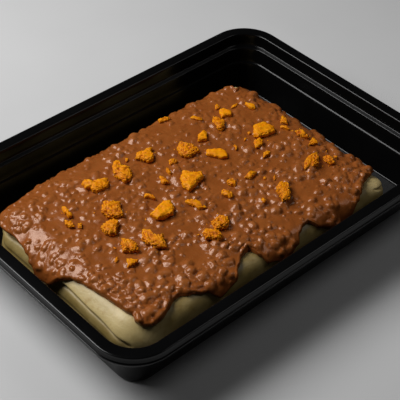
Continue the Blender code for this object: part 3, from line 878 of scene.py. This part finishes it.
def distance_to_border(u, v):
    """Distance on the paper to the sauce's edge from each place that is near it."""
    paper = np.stack([u, v], -1)
    border = outline_of(np.arange(u.size).reshape(u.shape))
    tree = KDTree(len(border))
    for i, place in enumerate(paper.reshape(-1, 2)[border]):
        tree.insert((*place, 0), i)
    tree.balance()
    close = np.ones(u.shape, bool)
    close[BORDER_CELLS:-BORDER_CELLS, BORDER_CELLS:-BORDER_CELLS] = False
    distance = np.full(u.shape, FAR_FROM_BORDER)
    distance[close] = [tree.find((*place, 0))[2] for place in paper[close]]
    return distance


def add_lumps(relief, warped, points, kind, draw, density):
    """Domes pushed up over a grid of points, at random places where the density allows."""
    count, radii, tallness, spacing = kind
    rows, columns = relief.shape
    centres = []
    sizes = []
    for _ in range(count * LUMP_TRIES):
        if len(centres) == count:
            break
        i = draw.integers(LUMP_MARGIN, rows - LUMP_MARGIN)
        j = draw.integers(LUMP_MARGIN, columns - LUMP_MARGIN)
        if draw.random() > density[i, j]:
            continue
        radius = draw.uniform(*radii)
        place = points[i, j]
        if centres:
            apart = np.linalg.norm(np.array(centres) - place, axis=1)
            if np.any(apart < spacing * (radius + np.array(sizes)) / 2):
                continue
        centres.append(place)
        sizes.append(radius)
        reach = int(radius / SAUCE_CELL * LUMP_WINDOW) + LUMP_WINDOW_CELLS
        window = (slice(max(i - reach, 0), i + reach + 1), slice(max(j - reach, 0), j + reach + 1))
        away = np.linalg.norm(warped[window] - warped[i, j], axis=-1) / radius
        height = tallness * radius * draw.uniform(*LUMP_SCALE)
        dome = height * np.clip(1 - away ** 2, 0, 1) ** LUMP_POWER
        relief[window] = (relief[window] ** LUMP_MERGE + dome ** LUMP_MERGE) ** (1 / LUMP_MERGE)


def large_area(base):
    """How much each point belongs to the places of the large lumps."""
    near_side = smoothstep((LARGE_NEAR_SIDE - base[..., 1]) / LARGE_FADE + 0.5)
    far_end = smoothstep((base[..., 0] - LARGE_FAR_END) / LARGE_FADE + 0.5)
    near_part = smoothstep((LARGE_FAR_END_SIDE - base[..., 1]) / LARGE_FADE)
    return np.maximum(near_side, LARGE_FAR_END_SHARE * far_end * near_part)


def lump_relief(base):
    """Height of the lumps over each point of the sauce's plain face."""
    warp = [noise_at(base, LUMP_WARP_LENGTH, seed) for seed in LUMP_WARP_SEEDS]
    warped = base + LUMP_WARP * np.stack(warp, -1)
    relief = np.zeros(base.shape[:2])
    draw = np.random.default_rng(LUMP_SEED)
    large = large_area(base)
    pools = smoothstep((noise_at(base, POOL_LENGTH, POOL_SEED) - POOL_FROM) / POOL_FADE)
    large_chance = share_by(LARGE_BY_PLACE, large) * share_by(LARGE_BY_POOL, pools)
    middle_chance = share_by(MIDDLE_BY_POOL, pools) * share_by(MIDDLE_BY_PLACE, large)
    add_lumps(relief, warped, base, LARGE_LUMPS, draw, large_chance)
    add_lumps(relief, warped, base, MIDDLE_LUMPS, draw, middle_chance)
    add_lumps(relief, warped, base, FINE_LUMPS, draw, share_by(FINE_BY_POOL, pools))
    return relief * (LOW_RELIEF + (1 - LOW_RELIEF) * large)


def whole_steps(places):
    """The same stretch of places, spread again so that the underside's steps fit in."""
    last = len(places) - 1
    cells = UNDERSIDE_STEP * round(last / UNDERSIDE_STEP)
    return np.interp(np.linspace(0, last, cells + 1), np.arange(last + 1), places)


def sauce_surface():
    """The grid of the sauce's outer face and of its underside, how pale and painted-lit the lumps are and how
    much painted shade lies down the sides at each point.
    """
    us = whole_steps(stations(HALF_LENGTH, SAUCE_CELL, SAUCE_REACH, SAUCE_CELL))
    vs = whole_steps(stations(HALF_WIDTH, SAUCE_CELL, SAUCE_REACH, SAUCE_CELL))
    u, v = drape(*np.meshgrid(us, vs, indexing="ij"))
    past = past_edge(u, v)
    border = distance_to_border(u, v)
    rounding = np.clip(border / SAUCE_ROUNDING, 0, 1)
    thickness = SAUCE_THICKNESS * np.sqrt(1 - (1 - rounding) ** 2)
    sloped = SLOPE_DROP * smoothstep((past - SLOPE_FROM) / SLOPE_OVER)
    base = parcel(u, v, SAUCE_LIFT + thickness + (SLOPE_DROP - sloped) * rounding)
    under = parcel(u, v, SAUCE_LIFT)
    swell = SWELL * noise_at(base, SWELL_LENGTH, SWELL_SEED)
    swell = swell + RIPPLE * noise_at(base, RIPPLE_LENGTH, RIPPLE_SEED)
    relief = lump_relief(base)
    calm = smoothstep(border / CALM_EDGE)
    top = base + normals_of(base) * ((relief + swell) * calm)[..., None]
    # Paleness of the lumps, partly painted light on their tops
    lumps_pale_and_lit = np.clip(relief / LUMP_PALE_AND_LIT_HEIGHT, 0, 1) * calm
    # Painted shade, darker down the sides past the top's edge
    low = LOW_SAUCE_SHADE * smoothstep((past - LOW_SAUCE_SHADE_FROM) / LOW_SAUCE_SHADE_OVER)
    return top, under, lumps_pale_and_lit, low


def sauce(material):
    """The sauce as one closed body with a plainer underside, and the grid of its outer face."""
    top, under, lumps_pale_and_lit, low = sauce_surface()
    rows, columns = top.shape[:2]
    step = UNDERSIDE_STEP
    lower = under[::step, ::step]
    fine = np.arange(rows * columns).reshape(rows, columns)
    coarse = rows * columns + np.arange(lower.shape[0] * lower.shape[1]).reshape(lower.shape[:2])
    faces = grid_faces(rows, columns)
    faces += [face[::-1] for face in grid_faces(*lower.shape[:2], first=rows * columns)]
    rim = [int(i) for i in outline_of(fine)]
    foot = [int(i) for i in outline_of(coarse)]
    for k, corner in enumerate(foot):
        after = foot[(k + 1) % len(foot)]
        edge = [rim[(step * k + i) % len(rim)] for i in range(step + 1)]
        faces.append([corner, after] + edge[::-1])
    points = np.concatenate([top.reshape(-1, 3), lower.reshape(-1, 3)])
    made = mesh_object("sauce_coat", points, faces, material)
    # The lumps' paleness, partly painted light on their tops, for the material
    keep_values(made, "lump", np.concatenate([lumps_pale_and_lit.ravel(), lumps_pale_and_lit[::step, ::step].ravel()]))
    # The painted shade down the sides, for the material
    keep_values(made, "low", np.concatenate([low.ravel(), low[::step, ::step].ravel()]))
    return made, top


# Toffee


def outline_radius(points, centre, angles):
    """Distance from a centre to a closed outline along each angle."""
    corners = np.array(points, float) - centre
    after = np.roll(corners, -1, axis=0)
    edge = after - corners
    reach = np.zeros(len(angles))
    directions = np.stack([np.cos(angles), np.sin(angles)], -1)
    for (cx, cy), (ex, ey) in zip(corners, edge):
        cross = directions[:, 0] * ey - directions[:, 1] * ex
        safe = np.where(np.abs(cross) < TINY, TINY, cross)
        far = (cx * ey - cy * ex) / safe
        along = (cx * directions[:, 1] - cy * directions[:, 0]) / safe
        hit = (along >= -EDGE_SLACK) & (along <= 1 + EDGE_SLACK) & (far > 0)
        reach = np.where(hit, np.maximum(reach, far), reach)
    return reach


@functools.cache
def ball(detail):
    """Directions and triangles of a subdivided icosahedron."""
    bm = bmesh.new()
    bmesh.ops.create_icosphere(bm, subdivisions=detail, radius=1)
    directions = np.array([vert.co for vert in bm.verts])
    faces = [[vert.index for vert in face.verts] for face in bm.faces]
    bm.free()
    return directions, faces


def ball_for(height, mesh):
    """The ball that a piece is shaped from, finer for a tall one."""
    tall, fine, plain = mesh
    return ball(fine if height > tall else plain)


def grains(points, size, seed):
    """How far each point lies from the gaps between grains of a size, from 0 in a gap to 1."""
    flat = np.asarray(points) / size + seed * np.array(GRAIN_SHIFT)
    near = np.array([noise.voronoi(Vector(p))[0][:2] for p in flat])
    return np.clip((near[:, 1] - near[:, 0]) * GRAIN_EDGE, 0, 1)


def chunk_form(outline, height, foot, directions):
    """A plain block over an outline, with a point in each direction from its middle."""
    centre = np.array(outline, float).mean(axis=0)
    angles = np.arctan2(directions[:, 1], directions[:, 0])
    flat = np.hypot(directions[:, 0], directions[:, 1])
    reach = outline_radius(outline, centre, angles)
    spread = np.clip(flat, 0, 1) ** CHUNK_LEAN
    rise = np.copysign(np.abs(directions[:, 2]) ** CHUNK_RISE, directions[:, 2])
    x = centre[0] + reach * spread * np.cos(angles)
    y = centre[1] + reach * spread * np.sin(angles)
    z = foot + height * (0.5 + 0.5 * rise)
    return np.stack([x, y, z], -1)


def chunk(outline, height, foot, porous, seed, shape):
    """A rough piece of toffee over an outline: points, faces and the painted shade of each point in the gaps
    and pores.
    """
    directions, faces = shape
    points = chunk_form(outline, height, foot, directions)
    outward = directions * OUTWARD_STRETCH
    outward /= np.linalg.norm(outward, axis=1, keepdims=True)
    size = min(1, height / WHOLE_RELIEF)
    rough = ROUGH * noise_at(points, ROUGH_LENGTH, seed) + RAGGED * noise_at(points, RAGGED_LENGTH, seed + 1)
    points = points + outward * (rough * size)[:, None]
    gap = 1 - grains(points, GRAIN, seed)
    hole = smoothstep((noise_at(points, HOLE_LENGTH, seed + 2) - HOLE_FROM) / HOLE_FADE) * porous
    gaps_seen = share_by(GAPS_BY_PORES, porous)
    depth = gap * GRAIN_DEPTH * gaps_seen + hole * gap * HOLE_DEPTH
    points = points - outward * (depth * size)[:, None]
    points[:, 2] = np.maximum(points[:, 2], foot)
    shade = gap ** GAP_SHADE_POWER * gaps_seen + HOLE_SHADE * hole * gap
    return points, faces, np.clip(shade, 0, 1)


def toffee_object(name, parts, material):
    """One object of one or more chunks, with the painted shade of the gaps and pores kept for its colour."""
    points = []
    faces = []
    pores = []
    for chunk_points, chunk_faces, chunk_shades in parts:
        first = sum(len(p) for p in points)
        faces += [[first + i for i in face] for face in chunk_faces]
        points.append(chunk_points)
        pores.append(chunk_shades)
    made = mesh_object(name, np.concatenate(points), faces, material)
    # Painted shade of the gaps and pores, for the material
    keep_values(made, "pore", np.concatenate(pores))
    return made


def sauce_level(top, outline):
    """Middle height of the sauce's outer face round the centre of an outline."""
    centre = np.array(outline, float).mean(axis=0)
    away = np.hypot(top[..., 0] - centre[0], top[..., 1] - centre[1])
    return float(np.median(top[away < LEVEL_RADIUS][:, 2]))


def larger_pieces(material, top):
    """The larger pieces, each in place of its solid."""
    made = []
    for number, (height, porous, outline) in HONEYCOMB.items():
        foot = sauce_level(top, outline) - PIECE_SUNK
        part = chunk(outline, height, foot, porous, number, ball_for(height, PIECE_MESH))
        piece = toffee_object(f"toffee_{number:02d}", [part], material)
        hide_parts(f"honeycomb_{number:02d}")
        made.append(piece)
    return made


def small_crumbs(top):
    """The small crumbs that have an outline of their own."""
    made = []
    for number, (height, outline) in enumerate(CRUMBS):
        foot = sauce_level(top, outline) - CRUMB_SUNK
        shape = ball_for(height, CRUMB_MESH)
        made.append(chunk(outline, height, foot, CRUMB_POROUS, CRUMB_SEED + number, shape))
    return made


def speck(shape, size, draw):
    """Points of one of the finest crumbs round its middle."""
    directions, _ = shape
    stretch = draw.uniform(*SPECK_STRETCH, 3)
    rough = 1 + SPECK_ROUGH * noise_at(directions, SPECK_ROUGH_LENGTH, draw.uniform(0, SPECK_SEEDS))
    return directions * rough[:, None] * stretch * size / 2


def specks(top, shape):
    """The finest crumbs, scattered near the larger pieces."""
    draw = np.random.default_rng(SPECK_SEED)
    outlines = [outline for _, _, outline in HONEYCOMB.values()]
    made = []
    for _ in range(SPECK_COUNT):
        outline = np.array(outlines[draw.integers(len(outlines))])
        centre = outline.mean(axis=0)
        corner = outline[draw.integers(len(outline))]
        place = centre + (corner - centre) * draw.uniform(*SPECK_REACH) + draw.normal(0, SPECK_SCATTER, 2)
        size = draw.uniform(*SPECK_SIZES)
        away = np.hypot(top[..., 0] - place[0], top[..., 1] - place[1])
        nearest = np.unravel_index(away.argmin(), away.shape)
        points = speck(shape, size, draw) + top[nearest]
        made.append((points, shape[1], np.full(len(points), SPECK_SHADE)))
    return made


def honeycomb(material, top):
    """All of the toffee: a list of the larger pieces and one object of crumbs."""
    made = larger_pieces(material, top)
    crumbs = small_crumbs(top) + specks(top, ball(SPECK_DETAIL))
    made.append(toffee_object("toffee_crumbs", crumbs, material))
    return made


# Stage


def towards(azimuth, elevation):
    """The direction at an azimuth and elevation in radians."""
    level = math.cos(elevation)
    return Vector((level * math.cos(azimuth), level * math.sin(azimuth), math.sin(elevation)))


def area_light(name, azimuth, elevation, distance, size, power):
    """A soft light seen from the object at an azimuth and elevation in degrees, with sizes in millimetres."""
    lamp = bpy.data.lights.new(name, "AREA")
    lamp.shape = "RECTANGLE"
    lamp.size = size[0] * MM
    lamp.size_y = size[1] * MM
    lamp.energy = power
    made = linked(name, lamp)
    target = Vector(LIGHT_TARGET) * MM
    place = target + towards(math.radians(azimuth), math.radians(elevation)) * distance * MM
    made.location = place
    made.rotation_mode = "QUATERNION"
    made.rotation_quaternion = (target - place).to_track_quat("-Z", "Y")


def lights():
    area_light("key", *KEY_LIGHT)
    area_light("fill", *FILL_LIGHT)
    world = bpy.data.worlds.new("studio")
    world.use_nodes = True
    background = world.node_tree.nodes["Background"]
    background.inputs["Color"].default_value = WORLD_COLOUR
    background.inputs["Strength"].default_value = WORLD_STRENGTH
    bpy.context.scene.world = world


def floor(material):
    points = [(x * FLOOR_HALF, y * FLOOR_HALF, 0) for x, y in ((-1, -1), (1, -1), (1, 1), (-1, 1))]
    made = mesh_object("floor", points, [(0, 1, 2, 3)], material)
    made.location.z = -FLOOR_DROP * MM


def camera():
    """The camera at the photograph's place, with its small roll."""
    view = towards(AZIMUTH, ELEVATION)
    right = (-view).cross(Vector((0, 0, 1))).normalized()
    up = right.cross(-view)
    turned_right = math.cos(ROLL) * right + math.sin(ROLL) * up
    turned_up = math.cos(ROLL) * up - math.sin(ROLL) * right
    placed = Matrix((turned_right, turned_up, view)).transposed().to_4x4()
    placed.translation = TARGET + DISTANCE * view
    data = bpy.data.cameras.new("camera")
    data.sensor_width = SENSOR
    data.lens = LENS
    data.clip_start = CLIP_START
    data.clip_end = CLIP_END
    made = linked("camera", data)
    made.matrix_world = placed
    bpy.context.scene.camera = made


def corners(box):
    return [[float(value) for value in corner] for corner in box]


def main():
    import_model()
    shell = tray(tray_material())
    skin = crepe(crepe_material())
    coat, top = sauce(sauce_material())
    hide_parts("tray")
    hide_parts("crepe")
    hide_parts("chocolate_sauce")
    toffee = honeycomb(toffee_material(), top)
    for piece, slot in ((shell, "tray"), (skin, "crepe"), (coat, "sauce"), *((p, "toffee") for p in toffee)):
        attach(piece, "root")
    floor(floor_material())
    lights()
    camera()
    bpy.context.scene.view_settings.view_transform = "Standard"


main()
